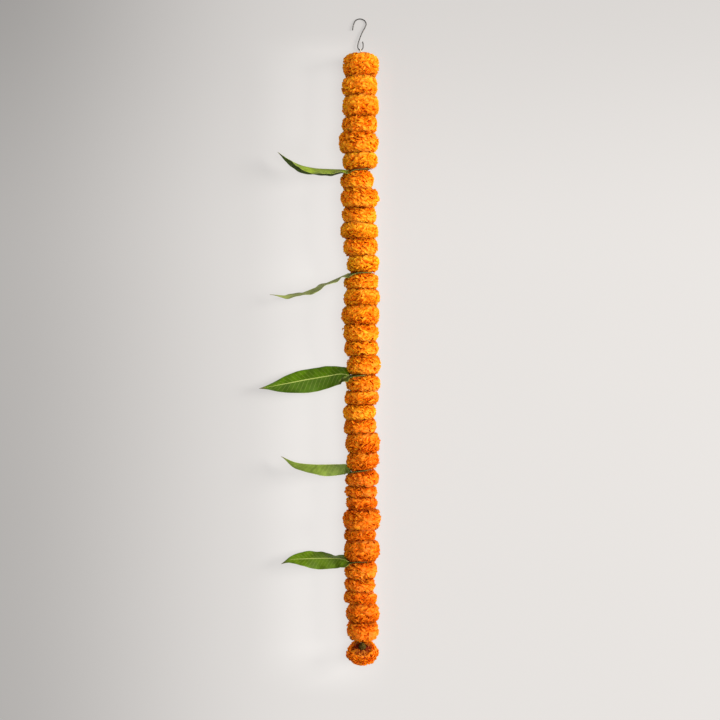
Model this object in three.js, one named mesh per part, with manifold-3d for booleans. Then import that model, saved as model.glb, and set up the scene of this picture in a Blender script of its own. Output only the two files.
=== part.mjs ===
// Marigold garland: a thread strung with marigold blooms in six groups and a mango leaf between
// each two groups. A wire S-hook is tied to its top end, and its last bloom is tipped over.
//
// Millimetres, +Z up. The garland lies along Y on the plane z = 0, hook at +Y, leaves towards -X.
// The origin is under the thread, on the pressed underside of the bloom named ORIGIN_BLOOM.
import * as THREE from "three";
import { mergeVertices } from "three/addons/utils/BufferGeometryUtils.js";
import Module from "manifold-3d";

const wasm = await Module();
wasm.setup();

// ---- Driving dimensions ----

const GAP = 0.3; // clearance kept between touching pieces
const PRESS = 3.5; // how far the surface presses each bloom flat
const THREAD_HEIGHT = 21.6; // height of the thread's straight stretch
const THREAD_RADIUS = 0.55;
const BORE_RADIUS = 1.05; // corners of the six-sided hole that the thread makes

// Each group from the hook down. thick runs along the thread, across is the width over the
// petals, and aside is how far the bloom sits off the thread towards +X.
const GROUPS = [
  {
    thick: [36, 29, 31, 24, 30, 25],
    across: [55, 54, 57, 53, 58, 51],
    aside: [-0.5, -2, -0.5, -1.5, -4, -1.5],
  },
  {
    thick: [28, 27, 24, 23, 25, 26],
    across: [50, 56, 54, 58, 52, 49],
    aside: [-6, -2, -2, -1, -1, 2],
  },
  {
    thick: [24, 25, 27, 24, 23, 28],
    across: [53, 54, 58, 55, 52, 51],
    aside: [1.5, 1, -1.5, 0, 1.5, 4],
  },
  {
    thick: [23, 21, 21, 22, 28, 27],
    across: [51, 53, 49, 51, 52, 49],
    aside: [4, 1.5, -2, -1, 2, 3.5],
  },
  {
    thick: [22, 17, 18, 29, 18, 30],
    across: [51, 50, 49, 57, 48, 53],
    aside: [2, 0.5, 2, 2, -1, 2],
  },
  {
    thick: [25, 20, 18, 27, 26],
    across: [50, 47, 50, 50, 47],
    aside: [-0.5, -1.5, 0, 3, 1.5],
  },
];
const STRUNG_BLOOMS = GROUPS.flatMap((group) => group.thick).length;
const ORIGIN_BLOOM = 16;
const MOST_LEAN = 0.06; // slope of the faces where two blooms meet

// Petals: each layer is a ruffled ridge round the bloom, and the tips of the next one stand
// between its tips.
const LAYER_THICKNESS = 7;
const POINTS_ROUND = 18;
const GROOVE = 3.3; // depth of the groove between two layers
const NOTCH = 2.4; // depth of the notch between two petals
const RUFFLE = 1; // uneven reach of the petal tips
const SLIGHT = 0.3; // uneven depth of the grooves and notches
const WANDER_ALONG = 0.22; // uneven place of a point along the thread, in steps between rings
const WANDER_ROUND = 0.15; // and round it, in steps between points
const END_NARROWING = 0.27; // how much narrower a bloom is at an end pressed against another
const NARROWING_POWER = 2.6;
const DOME_POWER = 2.6; // fullness of an end with nothing against it
const DOME_REACH = 0.93; // how near to the middle of that end its rings come

// The last bloom, tipped so that its underside looks up.
const END_BLOOM = {
  thick: 22,
  across: 51,
  aside: 2,
  below: 20.5, // its middle, from the end of the straight stretch
  height: 22.6,
  tip: 0.55, // radians from lying in line with the others
};
const CALYX = { radius: 5.4, neck: 3.4, length: 12, sunk: 5.6, ribs: 5, ribHeight: 0.07 };
const SOCKET_FLARE = 5; // how much wider the hollow round the calyx is at its mouth

const LEAF_THICKNESS = 0.9;
const LEAF_GAP = LEAF_THICKNESS + 2 * GAP; // between the blooms on its two sides
const LEAF_STEPS = 18;
const WIDEST_AT = 0.56; // share of the way from stalk to tip
const BASE_WIDTH = 0.56; // of the widest, where the blade is clamped between the blooms
const BASE_ROUNDS = 0.05; // share of the way over which the stalk end rounds off
const DRIP_FROM = 0.6; // share of the way from the widest place from which the tip is drawn out
const DRIP = 0.35; // how much narrower that makes its end
const NARROWEST = 0.9; // half the width of the blunt tip and stalk
const FREE_FROM = 0.34; // where the blade is clear of the blooms, and can fold and wave
const FREE_SPREAD = 0.17; // how far it then takes to reach its full fold and wave
const WAVES = 4.5; // ripples along each edge
const WAVE_OFFSET = 1.3; // radians between the ripples of the two edges
const WAVE_SETTLES = 8; // below this half width the ripples fade out

// Each leaf from the hook down. slope is that of the gap it is clamped in, along x. Its spine
// runs from the stalk end to the tip: x from the thread, y from the middle of that sloped gap,
// and z from the thread's height. halfWidth is that of the widest part of the blade. The rolls
// are the angles of its upper and lower half, stage by stage from the stalk to the tip: 0 stands
// on edge between the blooms, and at a quarter turn the upper edge has come down towards -Y, so
// that the blade lies face up. Where the lower half's is negative, it goes towards -Y as well, and
// the leaf is folded along its midrib.
const LEAVES = [
  {
    slope: 0.09,
    halfWidth: 18,
    spine: [[14, 0, 7], [-2, 0, 7], [-18, 0.3, 7], [-29, 2.6, 6], [-46, 5, 4], [-70, 9, 2],
      [-92, 16.2, 1], [-110, 27, 0], [-125, 38.7, -3]],
    rollUpper: [0, 0, 0, 0.35, 0.5, 0.55, 0.4, 0, 0],
    rollLower: [0, 0, 0, -0.25, -0.45, -0.48, -0.72, -0.95, -0.9],
    fold: 0,
    wave: 0.8,
  },
  {
    slope: 0.05,
    halfWidth: 17,
    spine: [[16, 0, 7], [-2, 0, 7], [-17, 0, 7], [-40, -8, 2], [-70, -19, -1],
      [-102, -28, -3], [-137, -25, -5]],
    rollUpper: [0, 0, 0, 0.18, 0.24, 0.26, 0.3],
    rollLower: [0, 0, 0, 0.12, 0.2, 0.26, 0.3],
    fold: 0.12,
    wave: 2,
  },
  {
    slope: 0.02,
    halfWidth: 20,
    spine: [[12, 0, 8], [-2, 0, 8], [-15, 0, 8], [-21, 0.5, 7], [-30, 2, 4], [-52, -1, 1],
      [-80, -5.2, -1], [-115, -11.2, -2], [-153, -17.5, -4]],
    rollUpper: [0, 0, 0.2, 0.7, 1.35, 1.4, 1.4, 1.4, 1.4],
    rollLower: [0, 0, 0, 0.12, 0.95, 1.05, 1.05, 1.05, 1.05],
    fold: 0.15,
    wave: 1.6,
  },
  {
    slope: 0.12,
    halfWidth: 18,
    spine: [[14, 0, 7], [-2, 0, 7], [-16, 0.2, 6], [-21, 1.7, 4.5], [-27, 8, 2.5], [-37, 13.2, 2],
      [-70, 17.6, 4], [-98, 24, 2], [-120, 35.5, -3]],
    rollUpper: [0, 0, 0.1, 0.6, 1.3, 1.35, 0.95, 1, 0.9],
    rollLower: [0, 0, 0, -0.1, -0.4, -0.5, -0.5, -0.5, -0.5],
    fold: 0,
    wave: 1,
  },
  {
    slope: 0.03,
    halfWidth: 16.5,
    spine: [[13, 0, 7], [-2, 0, 7], [-16, 0, 7], [-26, 3.6, 5], [-40, 5.3, 3], [-62, 5.9, 1],
      [-86, 5.5, -1], [-106, 4.5, -2.5], [-120, -1.4, -4]],
    rollUpper: [0, 0, 0.06, 1.05, 1.4, 1.4, 1, 0.9, 0.9],
    rollLower: [0, 0, 0, 0.12, 0.28, 0.5, 1.15, 1, 0.9],
    fold: 0.05,
    wave: 1.2,
  },
];

// The S-hook lies almost flat. Its route is in the plane of the wire, with 0, 0 at the bottom of
// the eye, which the thread's loop lifts off the surface.
const HOOK_WIRE_RADIUS = 0.8;
const HOOK_FROM_BLOOM = 8; // the bottom of the eye, from the first bloom
const HOOK_ASIDE = -0.8; // the eye's place to the side of the thread
const EYE_LIFT = 2.6;
const HOOK_ROUTE = [
  [3.1, 13.2], [4.1, 8.5], [3.4, 2.6], [0, 0], [-3.4, 2.6], [-4, 7.5], [-2.6, 13], [-0.6, 19],
  [3.2, 28], [6.8, 34.5], [8.6, 40], [5.9, 45.2], [-0.9, 47.6], [-7.4, 45], [-10.4, 38.5], [-12, 30.2],
];

const KNOT_RADIUS = 1.5; // the knot just above the hook's eye
const KNOT_HEIGHT = 6.5;
const KNOT_FROM_EYE = 3.2;
const END_KNOT_RADIUS = 1.8; // the knot under the last bloom

const COLOURS = {
  orange: 0xf07d0a,
  leaf: 0x4d7d1c,
  calyx: 0x4a4a1c,
  thread: 0xd8cdb4,
  steel: 0x9a9691,
};

// ---- Helpers ----

// A small seeded generator (mulberry32), so that every build gives the same petals.
function seededRandom(seed) {
  let state = seed >>> 0;
  return () => {
    state = (state + 0x6d2b79f5) >>> 0;
    let t = state;
    t = Math.imul(t ^ (t >>> 15), t | 1);
    t ^= t + Math.imul(t ^ (t >>> 7), t | 61);
    return ((t ^ (t >>> 14)) >>> 0) / 4294967296;
  };
}

function geometryOf(points, triangles) {
  const geometry = new THREE.BufferGeometry();
  geometry.setAttribute("position", new THREE.Float32BufferAttribute(points.flat(), 3));
  geometry.setIndex(triangles.flat());
  return geometry;
}

function toSolid(geometry) {
  const bare = geometry.clone();
  bare.deleteAttribute("normal");
  bare.deleteAttribute("uv");
  const merged = mergeVertices(bare, 1e-4);
  const mesh = new wasm.Mesh({
    numProp: 3,
    vertProperties: new Float32Array(merged.attributes.position.array),
    triVerts: new Uint32Array(merged.index.array),
  });
  return new wasm.Manifold(mesh);
}

function toGeometry(solid) {
  const mesh = solid.getMesh();
  const geometry = new THREE.BufferGeometry();
  geometry.setAttribute("position", new THREE.BufferAttribute(mesh.vertProperties, 3));
  geometry.setIndex(new THREE.BufferAttribute(mesh.triVerts, 1));
  geometry.computeVertexNormals();
  return geometry;
}

function mix(a, b, share) {
  return a + (b - a) * share;
}

function tube(curve, radius, sides, steps) {
  const section = new THREE.Shape();
  for (let i = 0; i < sides; i += 1) {
    const angle = (2 * Math.PI * i) / sides;
    const point = [radius * Math.cos(angle), radius * Math.sin(angle)];
    if (i === 0) {
      section.moveTo(...point);
    } else {
      section.lineTo(...point);
    }
  }
  return new THREE.ExtrudeGeometry(section, { steps, extrudePath: curve });
}

function curveThrough(points) {
  return new THREE.CatmullRomCurve3(points.map((point) => new THREE.Vector3(...point)));
}

// A straight six-sided bar along Y at the thread's place.
function barAlongThread(radius, fromY, toY) {
  const bar = new THREE.CylinderGeometry(radius, radius, toY - fromY, 6);
  bar.translate(0, (fromY + toY) / 2, THREAD_HEIGHT);
  return bar;
}

// Everything under the surface that the garland lies on.
function belowSurface() {
  const [wide, long, deep] = [400, 1400, 100];
  const box = new THREE.BoxGeometry(wide, long, deep);
  box.translate(0, 0, -deep / 2);
  return box;
}

// ---- Layout ----

// A joint is the sloped face where two pieces meet: y at the thread, and its slope along x and z.
function layOut() {
  const random = seededRandom(11);
  const lean = () => (random() * 2 - 1) * MOST_LEAN;
  const blooms = [];
  const leafJoints = [];
  let joint = { y: 0, slopeX: 0, slopeZ: 0 };
  GROUPS.forEach((group, g) => {
    group.thick.forEach((thick, i) => {
      const last = i === group.thick.length - 1;
      const end = { y: joint.y - thick, slopeX: lean(), slopeZ: lean() };
      if (last) {
        end.slopeZ = 0;
        end.slopeX = g < LEAVES.length ? LEAVES[g].slope : 0;
      }
      blooms.push({ top: joint, bottom: end, across: group.across[i], aside: group.aside[i] });
      joint = end;
    });
    if (g < LEAVES.length) {
      leafJoints.push({ ...joint, y: joint.y - LEAF_GAP / 2 });
      joint = { ...joint, y: joint.y - LEAF_GAP };
    }
  });
  const origin = blooms[ORIGIN_BLOOM - 1];
  const shift = -(origin.top.y + origin.bottom.y) / 2;
  const faces = new Set(blooms.flatMap((bloom) => [bloom.top, bloom.bottom]));
  faces.forEach((face) => {
    face.y += shift;
  });
  leafJoints.forEach((face) => {
    face.y += shift;
  });
  return { blooms, leafJoints };
}

// ---- Blooms ----

// The levels of a bloom's rings, from -1 at its end towards the hook to 1, and how far out the
// surface is there, as a share of its radius. An end pressed against a neighbour stays flat and
// broad. An open end is domed, and its rings are closer together.
function bloomRings(thick, openTop, openBottom) {
  const layers = Math.max(3, Math.round(thick / LAYER_THICKNESS) + openTop + openBottom);
  const rings = [];
  for (let k = 0; k <= 2 * layers; k += 1) {
    const place = k / layers - 1;
    const open = place < 0 ? openTop : openBottom;
    const size = Math.abs(place);
    const level = open ? Math.sin(size * DOME_REACH * (Math.PI / 2)) : size;
    const reach = open
      ? (1 - level ** DOME_POWER) ** (1 / DOME_POWER)
      : 1 - END_NARROWING * level ** NARROWING_POWER;
    rings.push({ level: Math.sign(place) * level, reach });
  }
  return rings;
}

// Even rings are grooves and the two ends, odd rings the ridges that carry the petal tips.
// place maps (level, x, z) to a point.
function bloomGeometry({ across, thick, seed, openTop = 0, openBottom = 0, place }) {
  const random = seededRandom(seed);
  const uneven = (size) => (random() * 2 - 1) * size;
  const rings = bloomRings(thick, openTop, openBottom);
  const last = rings.length - 1;
  const isTip = (k, j) => k % 2 === 1 && (j + (k - 1) / 2) % 2 === 0;
  const points = [];
  const triangles = [];
  rings.forEach(({ level, reach }, k) => {
    const ridge = k % 2 === 1;
    const atEnd = k === 0 || k === last;
    const step = atEnd ? 0 : Math.min(level - rings[k - 1].level, rings[k + 1].level - level);
    for (let j = 0; j < POINTS_ROUND; j += 1) {
      let out = (reach * across) / 2;
      if (!ridge) {
        out -= GROOVE * Math.sqrt(reach) + uneven(SLIGHT);
      } else if (isTip(k, j)) {
        out += uneven(RUFFLE);
      } else {
        out -= NOTCH * reach + uneven(SLIGHT);
      }
      const angle = (2 * Math.PI * (j + uneven(WANDER_ROUND))) / POINTS_ROUND;
      const moved = level + uneven(WANDER_ALONG * step);
      points.push(place(moved, out * Math.cos(angle), out * Math.sin(angle)));
    }
  });
  for (let k = 0; k < last; k += 1) {
    for (let j = 0; j < POINTS_ROUND; j += 1) {
      const a = k * POINTS_ROUND + j;
      const b = k * POINTS_ROUND + ((j + 1) % POINTS_ROUND);
      const c = a + POINTS_ROUND;
      const d = b + POINTS_ROUND;
      if (isTip(k, j) || isTip(k + 1, j + 1)) {
        triangles.push([a, b, d], [a, d, c]);
      } else {
        triangles.push([a, b, c], [b, d, c]);
      }
    }
  }
  const pole = points.length;
  points.push(place(-1, 0, 0), place(1, 0, 0));
  for (let j = 0; j < POINTS_ROUND; j += 1) {
    const next = (j + 1) % POINTS_ROUND;
    triangles.push([pole, next, j]);
    triangles.push([pole + 1, last * POINTS_ROUND + j, last * POINTS_ROUND + next]);
  }
  return geometryOf(points, triangles);
}

function strungBloom(bloom, index) {
  const radius = bloom.across / 2;
  const centreZ = radius - PRESS;
  const faceY = (face, x, z) => face.y + face.slopeX * x + face.slopeZ * (z - THREAD_HEIGHT);
  const place = (level, across, up) => {
    const x = bloom.aside + across;
    const z = centreZ + up;
    const start = faceY(bloom.top, x, z) - GAP / 2;
    const end = faceY(bloom.bottom, x, z) + GAP / 2;
    return [x, mix(start, end, (level + 1) / 2), z];
  };
  const whole = toSolid(bloomGeometry({
    across: bloom.across,
    thick: bloom.top.y - bloom.bottom.y,
    seed: 100 + index,
    openTop: Number(index === 0),
    openBottom: Number(index === STRUNG_BLOOMS - 1),
    place,
  }));
  const bore = toSolid(barAlongThread(BORE_RADIUS, bloom.bottom.y - 9, bloom.top.y + 9));
  return toGeometry(whole.subtract(bore).subtract(toSolid(belowSurface())));
}

const { blooms, leafJoints } = layOut();
const strandTop = blooms[0].top.y;
const strandEnd = blooms[blooms.length - 1].bottom.y;

const garland = new THREE.Group();

function material(name) {
  const metal = name === "steel";
  return new THREE.MeshStandardMaterial({
    color: COLOURS[name],
    roughness: metal ? 0.35 : 0.8,
    metalness: metal ? 1 : 0,
  });
}

function add(name, geometry, colour) {
  const mesh = new THREE.Mesh(geometry, material(colour));
  mesh.name = name;
  garland.add(mesh);
}

blooms.forEach((bloom, i) => {
  const name = `bloom_${String(i + 1).padStart(2, "0")}`;
  add(name, strungBloom(bloom, i), "orange");
});

// ---- The last bloom and its calyx ----

// Turns a piece from lying along Y, top at +Y, to the tilt and place of the last bloom.
function tipOver(geometry) {
  const turned = geometry.clone();
  turned.rotateX(END_BLOOM.tip);
  turned.translate(END_BLOOM.aside, strandEnd - END_BLOOM.below, END_BLOOM.height);
  return turned;
}

function calyxGeometry() {
  const { radius, neck, length, ribs, ribHeight } = CALYX;
  const profile = [
    [0, 0], [radius * 0.8, 0], [radius, length * 0.35], [radius * 0.95, length * 0.62],
    [neck, length * 0.78], [neck * 0.75, length], [0, length],
  ];
  const cup = new THREE.LatheGeometry(profile.map((p) => new THREE.Vector2(...p)), 2 * ribs);
  const position = cup.attributes.position;
  for (let i = 0; i < position.count; i += 1) {
    const x = position.getX(i);
    const z = position.getZ(i);
    const rib = 1 + ribHeight * Math.cos(ribs * Math.atan2(z, x));
    position.setX(i, x * rib);
    position.setZ(i, z * rib);
  }
  return cup;
}

function calyxSocket() {
  const { radius, length, sunk, ribs, ribHeight } = CALYX;
  const wide = radius * (1 + ribHeight) + GAP;
  const socket = new THREE.CylinderGeometry(wide + SOCKET_FLARE, wide, length, 2 * ribs);
  socket.translate(0, END_BLOOM.thick / 2 - sunk + length / 2, 0);
  return socket;
}

const endWhole = toSolid(tipOver(bloomGeometry({
  across: END_BLOOM.across,
  thick: END_BLOOM.thick,
  seed: 136,
  openTop: 1,
  openBottom: 1,
  place: (level, across, up) => [across, (-level * END_BLOOM.thick) / 2, up],
})));
const endBore = toSolid(barAlongThread(BORE_RADIUS, strandEnd - 60, strandEnd - 0.1));
const endBloom = endWhole
  .subtract(toSolid(tipOver(calyxSocket())))
  .subtract(endBore)
  .subtract(toSolid(belowSurface()));
add("bloom_36", toGeometry(endBloom), "orange");

const calyx = calyxGeometry();
calyx.translate(0, END_BLOOM.thick / 2 - CALYX.sunk + GAP, 0);
add("end_calyx", toGeometry(toSolid(tipOver(calyx))), "calyx");

// ---- Leaves ----

// Half the blade's width, in shares of its widest, for a share of the way from stalk to tip.
function bladeWidth(share) {
  if (share < WIDEST_AT) {
    const end = Math.min(1, share / BASE_ROUNDS) ** 0.5;
    return end * mix(BASE_WIDTH, 1, THREE.MathUtils.smoothstep(share, 0, WIDEST_AT));
  }
  const past = (share - WIDEST_AT) / (1 - WIDEST_AT);
  return (1 - past ** 1.4) * (1 - DRIP * THREE.MathUtils.smoothstep(past, DRIP_FROM, 1));
}

// The value of a list of stages at a share of the way along it, eased between two stages.
function staged(stages, share) {
  const place = share * (stages.length - 1);
  const index = Math.min(Math.floor(place), stages.length - 2);
  const part = place - index;
  return mix(stages[index], stages[index + 1], part * part * (3 - 2 * part));
}

function leafGeometry(leaf, joint) {
  const route = leaf.spine.map(([x, y, z]) => [x, joint.y + leaf.slope * x + y, THREAD_HEIGHT + z]);
  const curve = curveThrough(route);
  const lengths = curve.getLengths(LEAF_STEPS);
  const columns = [-1, -0.5, 0, 0.5, 1];
  const faces = [[], []];
  for (let i = 0; i <= LEAF_STEPS; i += 1) {
    const t = i / LEAF_STEPS;
    const middle = curve.getPoint(t);
    const along = curve.getTangent(t);
    const upright = new THREE.Vector3(0, 0, 1);
    upright.addScaledVector(along, -upright.dot(along)).normalize();
    const flat = new THREE.Vector3().crossVectors(upright, along).normalize();
    const widthAt = (roll) => upright.clone().multiplyScalar(Math.cos(roll))
      .addScaledVector(flat, Math.sin(roll));
    const upper = staged(leaf.rollUpper, t);
    const lower = staged(leaf.rollLower, t);
    const half = Math.max(NARROWEST, leaf.halfWidth * bladeWidth(lengths[i] / lengths[LEAF_STEPS]));
    const free = Math.min(1, Math.max(0, (t - FREE_FROM) / FREE_SPREAD));
    columns.forEach((v) => {
      const lift = Math.abs(v) * half * leaf.fold * free;
      const phase = 2 * Math.PI * WAVES * t + (v > 0 ? WAVE_OFFSET : 0);
      const wave = leaf.wave * free * v * v * Math.sin(phase) * Math.min(1, half / WAVE_SETTLES);
      const widthWay = widthAt(mix(lower, upper, (Math.sign(v) + 1) / 2));
      const normal = new THREE.Vector3().crossVectors(widthWay, along).normalize();
      const centre = middle.clone();
      centre.addScaledVector(widthWay, v * half);
      centre.addScaledVector(normal, lift + wave);
      [1, -1].forEach((side, s) => {
        const point = centre.clone().addScaledVector(normal, (side * LEAF_THICKNESS) / 2);
        faces[s].push([point.x, point.y, point.z]);
      });
    });
  }
  const count = columns.length;
  const offset = faces[0].length;
  const triangles = [];
  const quad = (a, b, c, d) => triangles.push([a, b, c], [b, d, c]);
  for (let i = 0; i < LEAF_STEPS; i += 1) {
    for (let v = 0; v < count - 1; v += 1) {
      const a = i * count + v;
      const c = a + count;
      triangles.push([a, a + 1, c], [a + 1, c + 1, c]);
      triangles.push([offset + a, offset + c, offset + a + 1]);
      triangles.push([offset + a + 1, offset + c, offset + c + 1]);
    }
    const first = i * count;
    const last = first + count - 1;
    quad(first, first + count, offset + first, offset + first + count);
    quad(last + count, last, offset + last + count, offset + last);
  }
  const tip = LEAF_STEPS * count;
  for (let v = 0; v < count - 1; v += 1) {
    quad(v + 1, v, offset + v + 1, offset + v);
    quad(tip + v, tip + v + 1, offset + tip + v, offset + tip + v + 1);
  }
  return geometryOf([...faces[0], ...faces[1]], triangles);
}

LEAVES.forEach((leaf, i) => {
  const joint = leafJoints[i];
  const blade = toSolid(leafGeometry(leaf, joint));
  const hole = toSolid(barAlongThread(BORE_RADIUS, joint.y - 5, joint.y + 5));
  add(`leaf_${i + 1}`, toGeometry(blade.subtract(hole)), "leaf");
});

// ---- S-hook ----

const eyeY = strandTop + HOOK_FROM_BLOOM;
const hookReach = Math.max(...HOOK_ROUTE.map((point) => point[1]));

function hookPoint([x, along]) {
  const z = mix(EYE_LIFT, HOOK_WIRE_RADIUS, along / hookReach);
  return [HOOK_ASIDE + x, eyeY + along, z];
}

const hookCurve = curveThrough(HOOK_ROUTE.map(hookPoint));
add("s_hook", tube(hookCurve, HOOK_WIRE_RADIUS, 6, 40), "steel");

// ---- Thread ----

const CLEAR = THREAD_RADIUS + HOOK_WIRE_RADIUS + GAP; // from the wire's middle to the thread's
const knotY = eyeY - KNOT_FROM_EYE;

function threadDrop() {
  return tube(curveThrough([
    [0, strandTop - 1, THREAD_HEIGHT],
    [0, strandTop + 2, THREAD_HEIGHT - 1.5],
    [0, knotY - 0.5, THREAD_HEIGHT - 7],
    [HOOK_ASIDE * 0.8, knotY, 12],
    [HOOK_ASIDE, knotY, KNOT_HEIGHT],
  ]), THREAD_RADIUS, 6, 10);
}

function threadLoop() {
  return tube(curveThrough([
    [HOOK_ASIDE, knotY, KNOT_HEIGHT],
    [HOOK_ASIDE, eyeY - 1, EYE_LIFT + CLEAR + 0.6],
    [HOOK_ASIDE, eyeY + 0.9, EYE_LIFT + CLEAR - 0.2],
    [HOOK_ASIDE, eyeY + CLEAR + 0.1, EYE_LIFT],
    [HOOK_ASIDE, eyeY + 0.9, EYE_LIFT - CLEAR + 0.1],
    [HOOK_ASIDE, eyeY - 1, EYE_LIFT - CLEAR + 0.1],
    [HOOK_ASIDE, knotY + 0.4, EYE_LIFT + 0.4],
    [HOOK_ASIDE, knotY, KNOT_HEIGHT],
  ]), THREAD_RADIUS, 6, 20);
}

function knot(x, y, z, radius) {
  const ball = new THREE.IcosahedronGeometry(radius, 1);
  ball.translate(x, y, z);
  return ball;
}

// How far beyond the last bloom's middle the end knot sits, against the bloom's face.
const faceBelow = (END_BLOOM.thick / 2 + END_KNOT_RADIUS + GAP
  + Math.sin(END_BLOOM.tip) * (THREAD_HEIGHT - END_BLOOM.height)) / Math.cos(END_BLOOM.tip);
const endKnotY = strandEnd - END_BLOOM.below - faceBelow;
const straight = barAlongThread(THREAD_RADIUS, endKnotY, strandTop - 0.5);
const thread = [
  threadDrop(),
  threadLoop(),
  knot(HOOK_ASIDE, knotY, KNOT_HEIGHT, KNOT_RADIUS),
  knot(0, endKnotY, THREAD_HEIGHT, END_KNOT_RADIUS),
].reduce((whole, piece) => whole.add(toSolid(piece)), toSolid(straight));
add("thread", toGeometry(thread), "thread");

export default garland;
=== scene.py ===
"""Marigold garland lying on a pale surface: petals, leaves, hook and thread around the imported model.

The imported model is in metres. Shapes here are worked out in millimetres, in the same frame:
+Y runs along the thread to the hook, the leaves point to -X, and +Z is up from the surface.
"""
from collections import namedtuple
import math

import bpy
import numpy as np
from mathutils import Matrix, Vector


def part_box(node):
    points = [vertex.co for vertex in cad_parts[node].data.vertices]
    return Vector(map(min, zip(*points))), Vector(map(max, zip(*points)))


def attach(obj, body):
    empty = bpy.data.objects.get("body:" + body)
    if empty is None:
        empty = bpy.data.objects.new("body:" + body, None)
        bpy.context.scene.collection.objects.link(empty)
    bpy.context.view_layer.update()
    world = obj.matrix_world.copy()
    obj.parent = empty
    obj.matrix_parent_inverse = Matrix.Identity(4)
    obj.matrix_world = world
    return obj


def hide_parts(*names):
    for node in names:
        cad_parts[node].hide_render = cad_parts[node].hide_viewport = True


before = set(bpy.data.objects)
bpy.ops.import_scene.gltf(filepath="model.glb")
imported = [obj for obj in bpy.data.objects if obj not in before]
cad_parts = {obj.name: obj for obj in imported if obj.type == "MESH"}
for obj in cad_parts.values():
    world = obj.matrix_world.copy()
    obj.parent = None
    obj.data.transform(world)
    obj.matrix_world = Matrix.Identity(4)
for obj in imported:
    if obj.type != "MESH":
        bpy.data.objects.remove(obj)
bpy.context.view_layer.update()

MM = 0.001

# ---- Driving dimensions, shared with the part's source, in mm and radians ----

THREAD_HEIGHT = 21.6
THREAD_RADIUS = 0.55
BORE_RIM = 1.3  # only the rims of a bloom's bore are this near the thread's middle
PRESS = 3.5  # how far the surface presses each bloom flat
STRUNG_BLOOMS = 35
END_NARROWING = 0.27
NARROWING_POWER = 2.6
DOME_POWER = 2.6
END_HALF = 11  # half the end bloom's thickness
END_RADIUS = 25.5
END_ASIDE = 2
END_BELOW = 20.5  # from the strand's end to the end bloom's middle
END_HEIGHT = 22.6
END_TIP = 0.55
CALYX_RADIUS = 5.4
CALYX_NECK = 3.4
CALYX_LENGTH = 12
CALYX_SUNK = 5.6  # into the end bloom
CALYX_RIBS = 5

LEAF_GAP = 1.5  # between the blooms on the two sides of a leaf
WIDEST_AT = 0.56
BASE_WIDTH = 0.56
BASE_ROUNDS = 0.05
DRIP_FROM = 0.6  # share of the falling stretch from which the tip is drawn out
DRIP = 0.35
NARROWEST = 0.9
FREE_FROM = 0.34
FREE_SPREAD = 0.17
WAVES = 4.5
WAVE_OFFSET = 1.3
WAVE_SETTLES = 8

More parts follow.
